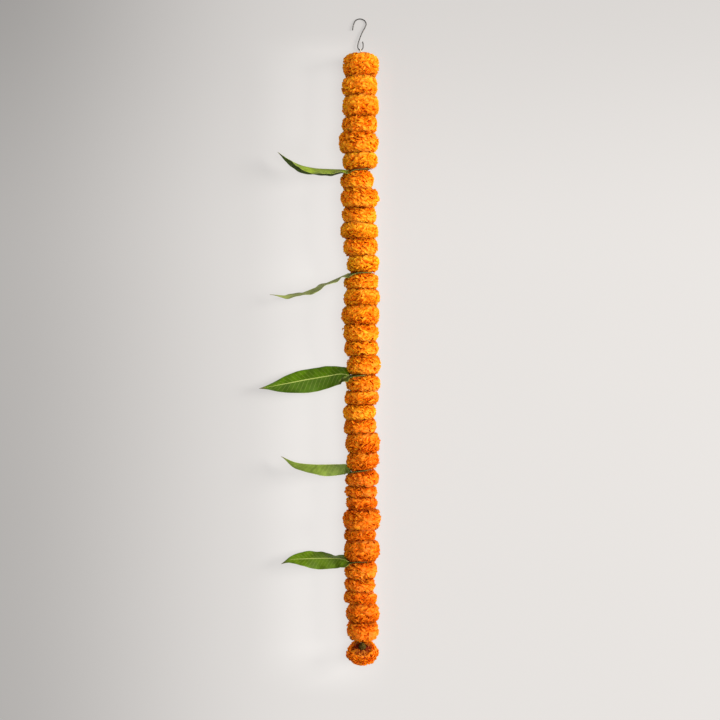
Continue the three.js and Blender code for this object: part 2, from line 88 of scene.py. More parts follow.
# Each leaf from the hook down. As in the part's source, except near the gaps of leaves 3, 4 and 5:
# slope of the gap, half the greatest width, spine from stalk to tip, rolls of the upper and lower
# half, fold and wave. Then what the solids leave out:
#   flap: how much wider the upper half is on the bloom below, at the places of FLAP_STRETCH
#   fold_line: the pale fold across that half: its x on the midrib, its slope, the width it reaches
#   under_ends: the leaf's own UNDER_ENDS
#   face, back: the colours of the side turned up and of the other side
#   lower_painted_lighter: painted light, how much lighter the lower half is painted
LEAVES = [
    {
        "slope": 0.09, "half_width": 18,
        "spine": [(14, 0, 7), (-2, 0, 7), (-18, 0.3, 7), (-29, 2.6, 6), (-46, 5, 4), (-70, 9, 2),
                  (-92, 16.2, 1), (-110, 27, 0), (-125, 38.7, -3)],
        "roll_upper": [0, 0, 0, 0.35, 0.5, 0.55, 0.4, 0, 0],
        "roll_lower": [0, 0, 0, -0.25, -0.45, -0.48, -0.72, -0.95, -0.9],
        "fold": 0, "wave": 0.8, "flap": (-0.2, -0.2, -0.2),
        "face": (0.228, 0.315, 0.02), "back": (0.07, 0.11, 0.02),
    },
    {
        "slope": 0.05, "half_width": 17,
        "spine": [(16, 0, 7), (-2, 0, 7), (-17, 0, 7), (-40, -8, 2), (-70, -19, -1),
                  (-102, -28, -3), (-137, -25, -5)],
        "roll_upper": [0, 0, 0, 0.18, 0.24, 0.26, 0.3],
        "roll_lower": [0, 0, 0, 0.12, 0.2, 0.26, 0.3],
        "fold": 0.12, "wave": 2, "flap": (0, 0, 0),
        "face": (0.32, 0.37, 0.09), "back": (0.06, 0.12, 0.02),
    },
    {
        "slope": 0.02, "half_width": 20,
        "spine": [(12, 0, 8), (-2, 0, 8), (-15, 0, 8), (-21, 0.5, 7), (-30, 2, 4), (-52, -1, 1),
                  (-80, -5.2, -1), (-115, -11.2, -2), (-153, -17.5, -4)],
        "roll_upper": [0, 0, 0.2, 0.7, 1.35, 1.4, 1.4, 1.4, 1.4],
        "roll_lower": [0, 0, 0.1, 0.7, 1, 1.05, 1.05, 1.05, 1.05],
        "fold": 0.15, "wave": 1.6, "flap": (0.05, -0.25, 0.4),
        "fold_line": (-15, -27, 0.65),
        "face": (0.056, 0.115, 0.001), "lower_painted_lighter": 1.5, "back": (0.215, 0.315, 0.05),
    },
    {
        "slope": 0.12, "half_width": 18,
        "spine": [(14, 0, 7), (-2, 0, 7), (-14, 0.2, 6), (-18, 6, 3.5), (-21.5, 11.5, 2),
                  (-33, 13.2, 1.8), (-70, 17.6, 4), (-98, 24, 2), (-120, 35.5, -3)],
        "roll_upper": [0, 0, 0.1, 0.9, 1.5, 1.4, 0.95, 1, 0.9],
        "roll_lower": [0, 0, 0, -0.1, -0.4, -0.5, -0.5, -0.5, -0.5],
        "fold": 0, "wave": 1, "flap": (-0.2, -0.5, -0.7),
        "fold_line": (-12, -13, 1), "under_ends": (-13, -18),
        "face": (0.145, 0.205, 0.027), "back": (0.045, 0.10, 0.012),
    },
    {
        "slope": 0.03, "half_width": 16.5,
        "spine": [(13, 0, 7), (-2, 0, 7), (-16, 0, 7), (-26, 3.6, 5), (-40, 5.3, 3), (-62, 5.9, 1),
                  (-86, 5.5, -1), (-106, 4.5, -2.5), (-120, -1.4, -4)],
        "roll_upper": [0, 0, 0.06, 1.05, 1.4, 1.4, 1, 0.9, 0.9],
        "roll_lower": [0, 0, 0.2, 0.4, 0.3, 0.5, 1.15, 1, 0.9],
        "fold": 0.05, "wave": 1.2, "flap": (-0.1, -0.4, 0.1),
        "face": (0.098, 0.172, 0.003), "back": (0.14, 0.205, 0.045),
    },
]
LEAVES_AFTER = [6, 12, 18, 24, 30]  # the bloom above each leaf

HOOK_WIRE_RADIUS = 0.8
HOOK_FROM_BLOOM = 8
HOOK_ASIDE = -0.8
EYE_LIFT = 2.6
HOOK_ROUTE = [
    (3.1, 13.2), (4.1, 8.5), (3.4, 2.6), (0, 0), (-3.4, 2.6), (-4, 7.5), (-2.6, 13), (-0.6, 19),
    (3.2, 28), (6.8, 34.5), (8.6, 40), (5.9, 45.2), (-0.9, 47.6), (-7.4, 45), (-10.4, 38.5),
    (-12, 30.2),
]
KNOT_HEIGHT = 6.5
KNOT_FROM_EYE = 3.2
KNOT_RADIUS = 1.5
END_KNOT_RADIUS = 1.8
CLEAR = THREAD_RADIUS + HOOK_WIRE_RADIUS + 0.3  # from the wire's middle to the thread's
WIRE_TONES = (0.05, 0.047, 0.043), (0.085, 0.08, 0.074)
THREAD_TONES = (0.55, 0.48, 0.36), (0.78, 0.71, 0.58)
CALYX_TONES = (0.03, 0.018, 0.003), (0.065, 0.042, 0.006)

USUAL_RADIUS = 25  # of a bloom
USUAL_HALF = 10  # half its thickness

# ---- Petals ----

PETAL_AREA = 19  # square mm of a bloom's surface for each petal
PETAL_COLUMNS = 11
PETAL_ROWS = np.array([0, 0.44, 0.7, 0.88, 1])  # shares of a petal's length
PETAL_LENGTH = (9.5, 13)
PETAL_HALF_WIDTH = (5.4, 8)
DEEP_PETALS = 0.4  # share of the petals whose tips lie well below the bloom's surface
DEEP_SINK = (1.6, 3.6)
SINK = (-0.6, 1.2)
PETAL_BEND = (1.1, 0.38)  # usual bend of the ruffled end, in radians, and its spread
RUFFLE_SIZE = (0.7, 1.6)
RUFFLE_WAVES = (0.5, 0.85)
FRILL_SIZE = (0.1, 0.3)  # the finer waves along a petal's edge
FRILL_WAVES = (1.7, 2.4)
TURNED_BACK = 0.5  # share of the petals beside a neighbour that bend back over their own bloom
BETWEEN_BLOOMS = 0.2  # a bloom's narrowing, with its petals, at an end pressed against another's
BESIDE_LEAVES = (END_NARROWING, END_NARROWING)
PETAL_TWIST = 0.3
ROOT_AT = 0.45  # share of a bloom's half thickness from its middle to the petals' common root
OUTWARD = 0.55  # share of a petal's direction that is square to the bloom's surface
FROM_ROOT = 0.45  # and the share that leads away from the root
WAY_SPREAD = 0.16
SPOT_SPREAD = 0.06  # in radians round the axis
CUP_SPREAD = 1.1
TIP_ROUNDS = 0.3  # how much shorter a petal is at its sides
BEND_STEPS = 25
OUTLINE_STEPS = 241
FACE_STEPS = 20
PROUD = 2.2  # how far petals may stand out of the bloom's outline
PROUD_SOFT = 2.6  # the stretch over which they are drawn in to that
CORE_SHARE = 0.74  # of the bloom's radius
CORE_SHORT = 0.6  # of how far the petals may reach past a pressed end
CORE_SIDES = 40
CORE_ROWS = 14
# Painted shade: the inner body, seen only deep between the petals, is darker than the throat.
CORE_SHADE = 0.7
CREASE_FROM = 0.72  # share of half a bloom's thickness from which its petals take painted shade
CREASE_SHADE = np.array([0.3, 0.5, 0.4])
FACE_SHARE = 0.72  # how far in the petals go on an end pressed against another
INTERLEAVE = 1.4  # how far petals reach past a face that meets another bloom
LEAF_CLEARANCE = 0.42  # how far they may reach past a face that meets a leaf
TOP_SHORT = -0.6  # the same at the first bloom's open top
LAST_LONGER = 0.35  # how much further the last strung bloom's petals reach towards the end bloom
LIMIT_SOFT = 1.5  # the stretch over which petals are pressed together short of those limits
FLATTENED_FROM = 3.0  # height below which petals are pressed flat on the surface
END_HOLLOW = 10.5  # radius of the recess round the calyx, which takes painted shade
END_DRAWN_IN = 1  # from END_RADIUS, because its petals stand out
RECESS_SHADE = np.array([0.6, 0.85, 0.7])

THROAT_COLOUR = np.array([0.9, 0.13, 0.002])
ORANGE_COLOUR = np.array([0.98, 0.3, 0.004])
GOLD_COLOUR = np.array([0.99, 0.64, 0.012])
PETAL_THROUGH = 0.6  # weight of the translucent shader in a petal

# How golden the blooms near the hook are, from deep orange at 0 to yellow at 1, and how bright. The
# blooms of the strand's other half are deeper, and some are more golden than their neighbours.
GOLD = 0.52
BRIGHTNESS = 1.0
GOLD_SPREAD = 0.14
BRIGHTNESS_SPREAD = 0.07
DEEPER_FROM, DEEPER_PAST = 16, 27
LESS_GOLD = 0.43
LESS_BRIGHTNESS = 0.08
MORE_GOLD = {6: 0.15, 10: 0.15, 12: 0.25, 21: 0.2}
LARGE_PETALS = {10: 1.15, 21: 1.3, 28: 1.3, 30: 1.3, 31: 1.15, 34: 1.15}
END_PETALS = 0.95  # size of the end bloom's petals

rng = np.random.default_rng(36)


# ---- Meshes ----

def new_mesh(name, points, faces, material):
    """A smooth mesh object from points in mm."""
    mesh = bpy.data.meshes.new(name)
    mesh.from_pydata((np.asarray(points) * MM).tolist(), [], list(map(list, faces)))
    mesh.update()
    mesh.polygons.foreach_set("use_smooth", [True] * len(mesh.polygons))
    mesh.materials.append(material)
    piece = bpy.data.objects.new(name, mesh)
    bpy.context.scene.collection.objects.link(piece)
    return piece


def dress(piece, slot, *nodes):
    """The piece stands for these CAD nodes, which it hides, and is parented to the root body's empty.
    slot is not used.
    """
    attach(piece, "root")
    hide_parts(*nodes)


def paint(piece, name, colours):
    layer = piece.data.color_attributes.new(name, "FLOAT_COLOR", "POINT")
    rgba = np.ones((len(colours), 4), np.float32)
    rgba[:, :3] = colours
    layer.data.foreach_set("color", rgba.ravel())


def map_points(piece, name, coordinates):
    """A UV map from one pair of coordinates for each point."""
    layer = piece.data.uv_layers.new(name=name)
    corners = np.empty(len(piece.data.loops), np.int32)
    piece.data.loops.foreach_get("vertex_index", corners)
    layer.data.foreach_set("uv", np.asarray(coordinates, np.float32)[corners].ravel())


def grid_faces(rows, columns, closed=False):
    """Quads of a grid of points, row after row. A closed grid joins its last column to its first."""
    count = columns if closed else columns - 1
    i, j = np.meshgrid(np.arange(rows - 1), np.arange(count), indexing="ij")
    a = (i * columns + j).ravel()
    b = (i * columns + (j + 1) % columns).ravel()
    return np.stack([a, b, b + columns, a + columns], axis=1)


def capped_faces(rows, columns):
    """Faces of a closed grid, with its first and its last row closed off."""
    faces = grid_faces(rows, columns, closed=True).tolist()
    last = (rows - 1) * columns
    return faces + [list(reversed(range(columns))), [last + k for k in range(columns)]]


def angles(sides):
    return np.linspace(0, 2 * math.pi, sides, endpoint=False)


def turned_round(along, out, angle):
    """Points round the Y axis, row after row, from heights, distances from the axis and angles."""
    grids = np.broadcast_arrays(out * np.cos(angle), along, out * np.sin(angle))
    return np.stack(grids, axis=-1).reshape(-1, 3)


def smoothstep(low, high, value):
    share = np.clip((value - low) / (high - low), 0, 1)
    return share * share * (3 - 2 * share)


def unit(vectors):
    return vectors / np.linalg.norm(vectors, axis=-1, keepdims=True)


def between(limits, shape):
    return rng.uniform(limits[0], limits[1], shape)


# ---- Curves and tubes ----

def curve_points(route, shares):
    """Points of the centripetal Catmull-Rom curve through a route, at shares of its spans."""
    route = np.array(route, float)
    route = np.concatenate([[2 * route[0] - route[1]], route, [2 * route[-1] - route[-2]]])
    place = np.asarray(shares) * (len(route) - 3)
    index = np.minimum(place.astype(int), len(route) - 4)
    part = (place - index)[:, None]
    p0, p1, p2, p3 = (route[index + k] for k in range(4))
    d0, d1, d2 = (np.linalg.norm(b - a, axis=1)[:, None] ** 0.5
                  for a, b in ((p0, p1), (p1, p2), (p2, p3)))
    start = ((p1 - p0) / d0 - (p2 - p0) / (d0 + d1) + (p2 - p1) / d1) * d1
    end = ((p2 - p1) / d1 - (p3 - p1) / (d1 + d2) + (p3 - p2) / d2) * d1
    square = -3 * p1 + 3 * p2 - 2 * start - end
    cube = 2 * p1 - 2 * p2 + start + end
    return p1 + part * (start + part * (square + part * cube))


def run_along(path):
    """The length of a path up to each of its points."""
    return np.concatenate([[0], np.cumsum(np.linalg.norm(np.diff(path, axis=0), axis=1))])


def transported(points):
    """Unit tangents of a path, and two unit directions across it that don't spin round it."""
    ahead = unit(np.gradient(points, axis=0))
    side = [unit(np.cross(ahead[0], [0.3, 0.2, 1.0]))]
    for way in ahead[1:]:
        side.append(unit(side[-1] - way * np.dot(side[-1], way)))
    side = np.array(side)
    return ahead, side, np.cross(ahead, side)


def tube(points, radii, sides):
    """Points and faces of a closed tube along a path. radii has one value for each point."""
    ahead, side, up = transported(points)
    angle = angles(sides)[:, None]
    ring = side[:, None] * np.cos(angle) + up[:, None] * np.sin(angle)
    rings = points[:, None] + ring * np.asarray(radii)[:, None, None]
    return rings.reshape(-1, 3), [face[::-1] for face in capped_faces(len(points), sides)]


def joined(parts):
    """One list of points and faces from several."""
    points, faces, start = [], [], 0
    for part_points, part_faces in parts:
        points.append(part_points)
        faces.extend([[start + k for k in face] for face in part_faces])
        start += len(part_points)
    return np.concatenate(points), faces


# ---- Blooms ----

# What shapes a bloom round its own axis, Y: pairs are for its low and its high end. facing is 1 or
# -1, for the end that its petals look to, and hollow is the radius of the recess in its high end.
Bloom = namedtuple("Bloom", "radius half open_ends narrowing facing size hollow tone")


def face_of(node, top):
    """(y at the thread, slope in x, slope in z) of a bloom's face, from the rim of its bore."""
    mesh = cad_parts[node].data
    points = np.array([v.co for v in mesh.vertices]) / MM - [0, 0, THREAD_HEIGHT]
    rim = points[np.hypot(points[:, 0], points[:, 2]) < BORE_RIM]
    middle = (rim[:, 1].min() + rim[:, 1].max()) / 2
    rim = rim[rim[:, 1] > middle] if top else rim[rim[:, 1] < middle]
    table = np.stack([np.ones(len(rim)), rim[:, 0], rim[:, 2]], axis=1)
    return np.linalg.lstsq(table, rim[:, 1], rcond=None)[0]


def face_height(face, x, z):
    return face[0] + face[1] * x + face[2] * (z - THREAD_HEIGHT)


STRAND_TOP = face_of("bloom_01", True)[0]
STRAND_END = face_of(f"bloom_{STRUNG_BLOOMS:02d}", False)[0]
HOOK_EYE = STRAND_TOP + HOOK_FROM_BLOOM


def end_reach(level, bloom, least=0.0):
    """Share of the bloom's radius at a level from -1 at its low end to 1 at its high end."""
    size = np.abs(level)
    low = level < 0
    pressed = 1 - np.where(low, *bloom.narrowing) * size**NARROWING_POWER
    domed = np.maximum(1 - size**DOME_POWER, least) ** (1 / DOME_POWER)
    return np.where(np.where(low, *bloom.open_ends), domed, pressed)


def bloom_outline(bloom):
    """Points (along, out) of the bloom's surface from its low end to its high end."""
    level = np.linspace(-1, 1, OUTLINE_STEPS)
    along = level * bloom.half
    out = end_reach(level, bloom) * bloom.radius
    # A pressed end goes on inwards over its face.
    for end in (0, 1):
        if not bloom.open_ends[end]:
            rim = (1 - bloom.narrowing[end]) * bloom.radius
            face_out = np.linspace(FACE_SHARE * rim, rim, FACE_STEPS, endpoint=False)
            face_along = np.full(FACE_STEPS, bloom.half)
            if end == 0:
                along = np.concatenate([-face_along, along])
                out = np.concatenate([face_out, out])
            else:
                along = np.concatenate([along, face_along])
                out = np.concatenate([out, face_out[::-1]])
    kept = (along < 0) | (out > bloom.hollow)
    return along[kept], out[kept]


def scatter(along, out):
    """Even spots over the surface that the outline makes: along, out, their normals, angles."""
    step = np.hypot(np.diff(along), np.diff(out))
    area = np.concatenate([[0], np.cumsum(step * (out[1:] + out[:-1]) * math.pi)])
    count = int(area[-1] / PETAL_AREA)
    wanted = (np.arange(count) + rng.uniform(0, 1, count)) / count * area[-1]
    spot_along = np.interp(wanted, area, along)
    spot_out = np.interp(wanted, area, out)
    normal_along = -np.interp(wanted, area, np.gradient(out))
    normal_out = np.interp(wanted, area, np.gradient(along))
    size = np.hypot(normal_along, normal_out) + 1e-9
    golden = math.pi * (3 - math.sqrt(5))
    angle = np.arange(count) * golden + rng.normal(0, SPOT_SPREAD, count)
    return spot_along, spot_out, normal_along / size, normal_out / size, angle


def petal_frames(bloom):
    """Each petal's height along the axis, its spot, and its directions: ahead, across and its face."""
    along, out, normal_along, normal_out, angle = scatter(*bloom_outline(bloom))
    count = len(along)
    ring = np.stack([np.cos(angle), np.zeros(count), np.sin(angle)], axis=1)
    axis = np.array([0.0, 1.0, 0.0])
    spot = ring * out[:, None] + axis * along[:, None]
    normal = ring * normal_out[:, None] + axis * normal_along[:, None]
    from_root = unit(spot - axis * (-ROOT_AT * bloom.facing * bloom.half))
    way = unit(OUTWARD * normal + FROM_ROOT * from_root + rng.normal(0, WAY_SPREAD, (count, 3)))
    deep = rng.uniform(0, 1, count) < DEEP_PETALS
    sink = np.where(deep, between(DEEP_SINK, count), between(SINK, count))
    spot = spot - normal * sink[:, None]

    # The width runs round the bloom, with some petals twisted out of that.
    around = unit(np.cross(axis, way) + 1e-6)
    over = np.cross(way, around)
    twist = rng.normal(0, PETAL_TWIST, count)[:, None]
    wide = around * np.cos(twist) + over * np.sin(twist)
    face = np.cross(wide, way)
    face *= np.sign(face[:, 1] * bloom.facing + 1e-9)[:, None]
    return along, spot, way, wide, face


def petal_bends(along, half, face):
    """For each petal and row, shares of its length ahead and aside of its root, and its angle."""
    count = len(along)
    bend = -rng.normal(*PETAL_BEND, count)
    # Near an end the tips turn back over the bloom.
    near_end = smoothstep(0.55, 1, np.abs(along) / half)
    turned_in = -np.sign(along) * np.sign(face[:, 1]) * np.abs(bend)
    bend = np.where(rng.uniform(0, 1, count) < TURNED_BACK * near_end, turned_in, bend)
    angle = bend[:, None] * smoothstep(0.3, 0.9, np.linspace(0, 1, BEND_STEPS))
    root = np.zeros((count, 1))
    ahead = np.concatenate([root, np.cumsum(np.cos(angle), 1)[:, :-1]], 1) / BEND_STEPS
    aside = np.concatenate([root, np.cumsum(np.sin(angle), 1)[:, :-1]], 1) / BEND_STEPS
    index = np.round(PETAL_ROWS * (BEND_STEPS - 1)).astype(int)
    return ahead[:, index], aside[:, index], angle[:, index]


def petals(bloom):
    """Ruffled petals: points (petal, row, column, xyz), and how far each is lifted off its plane."""
    along, spot, way, wide, face = petal_frames(bloom)
    each = (len(along), 1, 1)
    length = between(PETAL_LENGTH, each) * bloom.size
    half_width = between(PETAL_HALF_WIDTH, each) * bloom.size
    ahead, aside, angle = petal_bends(along, bloom.half, face)
    waves = between(RUFFLE_WAVES, each)
    phase = rng.uniform(0, 2 * math.pi, (len(along), 3))[..., None, None]
    ruffle = between(RUFFLE_SIZE, each) * bloom.size
    frills = between(FRILL_WAVES, each)
    frill = between(FRILL_SIZE, each) * bloom.size
    cup = rng.normal(0, CUP_SPREAD, each)

    # u runs across a petal from -1 to 1, and w along it from its root at 0 to its tip at 1.
    u = np.linspace(-1, 1, PETAL_COLUMNS)
    w = PETAL_ROWS[:, None]
    spread = (0.32 + 0.68 * smoothstep(0, 0.75, w)) * (1 - 0.1 * w**6)
    across = half_width * spread * u
    lifted = (
        ruffle * smoothstep(0.25, 1, w) * np.sin(2 * math.pi * waves * u + phase[:, 0] + 1.2 * w)
        + cup * w * u**2
        + frill * w**4 * np.sin(2 * math.pi * frills * u + phase[:, 2])
    )
    shorter = w**2 * (
        -TIP_ROUNDS * length * np.abs(u) ** 2.6 + 0.4 * np.cos(4.2 * u + phase[:, 1])
    )
    cos_at = np.cos(angle)[..., None]
    sin_at = np.sin(angle)[..., None]
    ahead = (ahead - ahead.max(axis=1, keepdims=True))[..., None] * length
    aside = (aside - 0.5 * aside[:, -1:])[..., None] * length
    forward = ahead + shorter * cos_at - lifted * sin_at
    upward = aside + shorter * sin_at + lifted * cos_at
    points = (
        spot[:, None, None]
        + way[:, None, None] * forward[..., None]
        + face[:, None, None] * upward[..., None]
        + wide[:, None, None] * across[..., None]
    )
    return points, lifted


def petal_colours(count, tone, lifted):
    """Deep orange in the throat, lighter towards the ruffled tip, and no two petals alike."""
    gold, brightness = tone
    each = (count, 1, 1, 1)
    tint = np.clip(rng.normal(gold, GOLD_SPREAD, each), 0, 1)
    shade = rng.normal(brightness, BRIGHTNESS_SPREAD, each)
    row = PETAL_ROWS[None, :, None, None]
    tip = ORANGE_COLOUR + (GOLD_COLOUR - ORANGE_COLOUR) * (0.25 + 0.75 * row**2) * tint
    colour = THROAT_COLOUR + (tip - THROAT_COLOUR) * smoothstep(0.1, 0.75, row)
    # Painted light and shade: each ruffle a little lighter where it is lifted towards the petal's
    # face, darker where it sinks.
    edge = 1 + 0.05 * np.sign(lifted)[..., None] * row
    return np.clip(colour * shade * edge, 0, 1)


def core_points(bloom):
    """The bloom's inner body, which the petals stand out of."""
    along, out = bloom_outline(bloom._replace(narrowing=BESIDE_LEAVES, hollow=0))
    keep = np.linspace(0, len(along) - 1, CORE_ROWS).round().astype(int)
    domed = np.where(along[keep] < 0, *bloom.open_ends)
    depth = (1 - CORE_SHARE) * bloom.radius * (1 - 0.35 * (along[keep] / bloom.half) ** 6)
    along = along[keep] * np.where(domed, 0.9, 0.99)
    out = np.maximum(out[keep] - depth, 0.4)
    return turned_round(along[:, None], out[:, None], angles(CORE_SIDES))


def squeeze(values, limit, soft):
    """Values past limit - soft are pressed together short of limit."""
    start = limit - soft
    past = np.maximum(values - start, 0)
    return np.where(values > start, start + soft * (1 - np.exp(-past / soft)), values)


def draw_in(points, bloom):
    """Petal points that stand far out of the bloom's outline are moved in to it."""
    level = np.clip(points[..., 1] / bloom.half, -1, 1)
    reach = bloom.radius * end_reach(level, bloom, least=0.02) + PROUD
    out = np.hypot(points[..., 0], points[..., 2])
    share = squeeze(out, reach, PROUD_SOFT) / np.maximum(out, 0.01)
    points[..., 0] *= share
    points[..., 2] *= share


def pressed_down(z):
    """Heights with what would be under the surface flattened on to it."""
    below = np.minimum(z, FLATTENED_FROM) / FLATTENED_FROM - 1
    return np.where(z < FLATTENED_FROM, FLATTENED_FROM * np.exp(below), z) - 0.05


def crease_shade(points, bloom):
    """Painted shade: what the colour is multiplied by near an end pressed against another bloom."""
    y = points[..., 1]
    pressed = np.where(y < 0, not bloom.open_ends[0], not bloom.open_ends[1])
    near = smoothstep(CREASE_FROM, 1.1, np.abs(y) / bloom.half) * pressed
    return 1 - near[..., None] * CREASE_SHADE


def recess_shade(points, bloom):
    """Painted shade: what the colour is multiplied by in the recess in the bloom's high end."""
    if not bloom.hollow:
        return 1
    out = np.hypot(points[..., 0], points[..., 2])
    inside = smoothstep(bloom.hollow + 8, bloom.hollow - 1, out)
    depth = inside * smoothstep(-3, 2, points[..., 1])
    return 1 - depth[..., None] * RECESS_SHADE


def bloom_piece(number, bloom, to_place, limits):
    """One bloom: its petals and core, moved from its own axis to its place on the thread."""
    points, lifted = petals(bloom)
    count = len(points)
    # Painted shade in the creases between blooms and in the end bloom's recess.
    colours = petal_colours(count, bloom.tone, lifted) * crease_shade(points, bloom)
    colours = (colours * recess_shade(points, bloom)).reshape(-1, 3)
    draw_in(points, bloom)
    below, above = limits(points[..., 0], points[..., 2])
    points[..., 1] = squeeze(points[..., 1], above, LIMIT_SOFT)
    points[..., 1] = -squeeze(-points[..., 1], below, LIMIT_SOFT)
    points = points.reshape(-1, 3)
    per_petal = len(PETAL_ROWS) * PETAL_COLUMNS
    quads = grid_faces(len(PETAL_ROWS), PETAL_COLUMNS)
    petal_faces = (quads[None] + per_petal * np.arange(count)[:, None, None]).reshape(-1, 4)

    core = core_points(bloom)
    below, above = limits(core[:, 0], core[:, 2])
    core[:, 1] = np.where(core[:, 1] > 0.95 * bloom.half, above - CORE_SHORT, core[:, 1])
    core[:, 1] = np.where(core[:, 1] < -0.95 * bloom.half, CORE_SHORT - below, core[:, 1])
    core_faces = grid_faces(CORE_ROWS, CORE_SIDES, closed=True) + len(points)
    # The inner body takes painted shade, and in the end bloom the recess's painted shade too.
    core_colours = THROAT_COLOUR * CORE_SHADE * np.ones((len(core), 1)) * recess_shade(core, bloom)

    all_points = to_place(np.concatenate([points, core]))
    all_points[:, 2] = pressed_down(all_points[:, 2])
    faces = np.concatenate([petal_faces, core_faces])
    piece = new_mesh(f"petals_{number:02d}", all_points, faces, petal_material)
    paint(piece, "petal_colour_with_painted_light", np.concatenate([colours, core_colours]))
    u, w = np.meshgrid(np.linspace(0, 1, PETAL_COLUMNS), PETAL_ROWS)
    own = rng.uniform(0, 40, (count, 1, 1, 1))
    uv = (np.stack([u, w], axis=-1)[None] + own).reshape(-1, 2)
    map_points(piece, "petal_uv", np.concatenate([uv, np.zeros((len(core), 2))]))
    dress(piece, "petals", f"bloom_{number:02d}")


def past_face(above, x, z):
    """How far petals at (x, z) may reach past the face between bloom number above and the next."""
    if above == 0:
        return np.full(x.shape, TOP_SHORT)
    if above not in LEAVES_AFTER:
        return np.full(x.shape, INTERLEAVE)
    leaf = LEAVES[LEAVES_AFTER.index(above)]
    stalk_end = leaf["spine"][0][0]
    beyond = smoothstep(1.5, 4, x - stalk_end)
    # Over and under the blade the two blooms meet again.
    spine_height = THREAD_HEIGHT + leaf["spine"][0][2]
    beyond = np.maximum(beyond, smoothstep(12, 15, spine_height - z))
    beyond = np.maximum(beyond, smoothstep(7, 10, x) * smoothstep(3, 6, z - spine_height))
    return LEAF_CLEARANCE + (LEAF_GAP / 2 + INTERLEAVE - LEAF_CLEARANCE) * beyond


def bloom_tone(number):
    deeper = smoothstep(DEEPER_FROM, DEEPER_PAST, number)
    gold = GOLD - LESS_GOLD * deeper + MORE_GOLD.get(number, 0)
    return gold, BRIGHTNESS - LESS_BRIGHTNESS * deeper


def strung_bloom(number):
    name = f"bloom_{number:02d}"
    low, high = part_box(name)
    radius = (high.x - low.x) / 2 / MM
    aside = (high.x + low.x) / 2 / MM
    centre_z = radius - PRESS
    top = face_of(name, True)
    bottom = face_of(name, False)
    half = (top[0] - bottom[0]) / 2
    open_ends = (number == STRUNG_BLOOMS, number == 1)
    narrowing = [
        END_NARROWING if above in LEAVES_AFTER else BETWEEN_BLOOMS for above in (number, number - 1)
    ]

    def to_place(points):
        x = points[:, 0] + aside
        z = points[:, 2] + centre_z
        along = points[:, 1] * np.where((points[:, 1] < 0) & open_ends[0], 1 + LAST_LONGER, 1)
        share = (along / half + 1) / 2
        y = face_height(bottom, x, z) * (1 - share) + face_height(top, x, z) * share
        return np.stack([x, y, z], axis=1)

    def limits(x, z):
        x = x + aside
        z = z + centre_z
        return half + past_face(number, x, z), half + past_face(number - 1, x, z)

    facing = rng.choice([-1, 1])
    size = LARGE_PETALS.get(number, 1)
    bloom = Bloom(radius, half, open_ends, narrowing, facing, size, 0, bloom_tone(number))
    bloom_piece(number, bloom, to_place, limits)


def at_end(points):
    """Points round the end bloom's own axis, Y, turned and moved to where it lies."""
    turn = np.array([
        [1, 0, 0],
        [0, math.cos(END_TIP), -math.sin(END_TIP)],
        [0, math.sin(END_TIP), math.cos(END_TIP)],
    ])
    return points @ turn.T + np.array([END_ASIDE, STRAND_END - END_BELOW, END_HEIGHT])


def end_bloom():
    """The last bloom, tipped so that its back and its calyx look up towards the hook."""
    number = STRUNG_BLOOMS + 1
    bloom = Bloom(
        END_RADIUS - END_DRAWN_IN, END_HALF, (True, True), BESIDE_LEAVES, -1, END_PETALS, END_HOLLOW,
        bloom_tone(number),
    )
    bloom_piece(number, bloom, at_end, lambda x, z: (END_HALF + 1, END_HALF + 1))


# ---- Leaves ----

LEAF_ROWS = 150
LEAF_COLUMNS = 29
FLAP_FROM = 18.2  # distance from the thread at which a blade leaves the gap and bends over
FLAP_OFFSET = 1.6  # of the bent part from the bloom's nominal surface
FLAP_ENDS = (-17, -28)  # x over which the bent upper half passes into the free blade
UNDER_ENDS = (-18, -23)  # the same for the lower half, where a leaf has none of its own
FLAP_STRETCH = (4, 17, 25)  # distances from the thread, in x, of the flap's three widths
BLADE_THICKNESS = 0.5
MIDRIB_HEIGHT = 0.5
MIDRIB_SHARE = 0.05  # of half the blade's width
VEIN_PAIRS = 25
VEIN_DEPTH = 0.13
VEIN_SLANT = 0.075  # how far towards the tip a vein runs, as a share of the blade's length
VEIN_SLANT_POWER = 0.85
LEAF_THROUGH = 0.15  # weight of the translucent shader in a blade
VEIN_COLOUR = np.array([0.42, 0.48, 0.12])
DRY_TIP = np.array([0.10, 0.05, 0.02])
DRY_FROM = 0.92  # share of the way to the tip from which the blade is dry and brown
FLAP_PAINTED_SHADE = np.array([0.075, 0.09, 0.006])  # painted shade of the blade where it lies on the bloom
FLAP_SHADE_SHARE = 0.75
# Painted shade in the deep crease where a blade leaves the gap.
CREASE_PAINTED_SHADE = np.array([0.012, 0.01, 0.004])


def staged(stages, share):
    """The value of a list of stages at shares of the way along it, eased between two stages."""
    stages = np.array(stages, float)
    place = share * (len(stages) - 1)
    index = np.minimum(place.astype(int), len(stages) - 2)
    part = smoothstep(0, 1, place - index)
    return stages[index] * (1 - part) + stages[index + 1] * part


def blade_width(share):
    base = np.minimum(1, share / BASE_ROUNDS) ** 0.5
    rising = base * (BASE_WIDTH + (1 - BASE_WIDTH) * smoothstep(0, WIDEST_AT, share))
    past = np.maximum(share - WIDEST_AT, 0) / (1 - WIDEST_AT)
    falling = (1 - past**1.4) * (1 - DRIP * smoothstep(DRIP_FROM, 1, past))
    return np.where(share < WIDEST_AT, rising, falling)


def leaf_joint(index):
    """y at the thread of the middle of a leaf's gap."""
    above = face_of(f"bloom_{LEAVES_AFTER[index]:02d}", False)
    below = face_of(f"bloom_{LEAVES_AFTER[index] + 1:02d}", True)
    return (above[0] + below[0]) / 2


def vein_wave(u, w):
    """1 on a lateral vein and 0 between, for u across the blade and w along it."""
    phase = VEIN_PAIRS * (w - VEIN_SLANT * np.abs(u) ** VEIN_SLANT_POWER) + 0.5 * (u > 0)
    return np.clip(np.cos(2 * math.pi * phase), 0, 1) ** 6


